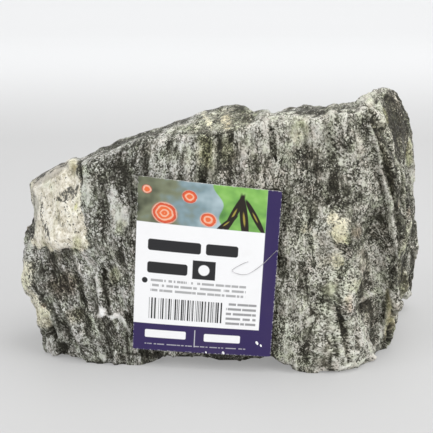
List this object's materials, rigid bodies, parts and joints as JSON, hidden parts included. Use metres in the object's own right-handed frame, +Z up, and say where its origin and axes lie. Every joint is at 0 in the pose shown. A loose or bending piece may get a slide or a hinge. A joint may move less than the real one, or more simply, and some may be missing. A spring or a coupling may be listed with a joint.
{
  "type": "mica schist rock",
  "caption": "Broken block of banded mica schist with a pale feldspar corner, layered end, rising top and a small plain card on its front.",
  "frame": {"origin": "centre of the bounding box's underside, on the surface the stone stands on", "axes": "+X along the stone's length towards its high end, +Y away from the face with the card, +Z up"},
  "size_m": [0.1498, 0.0824, 0.0903],
  "materials": {
    "stone": "rough broken, with glinting mica",
    "card": "gloss printed card"
  },
  "bodies": {
    "root": {"stone": "stone", "label_card": "card"}
  },
  "joints": []
}
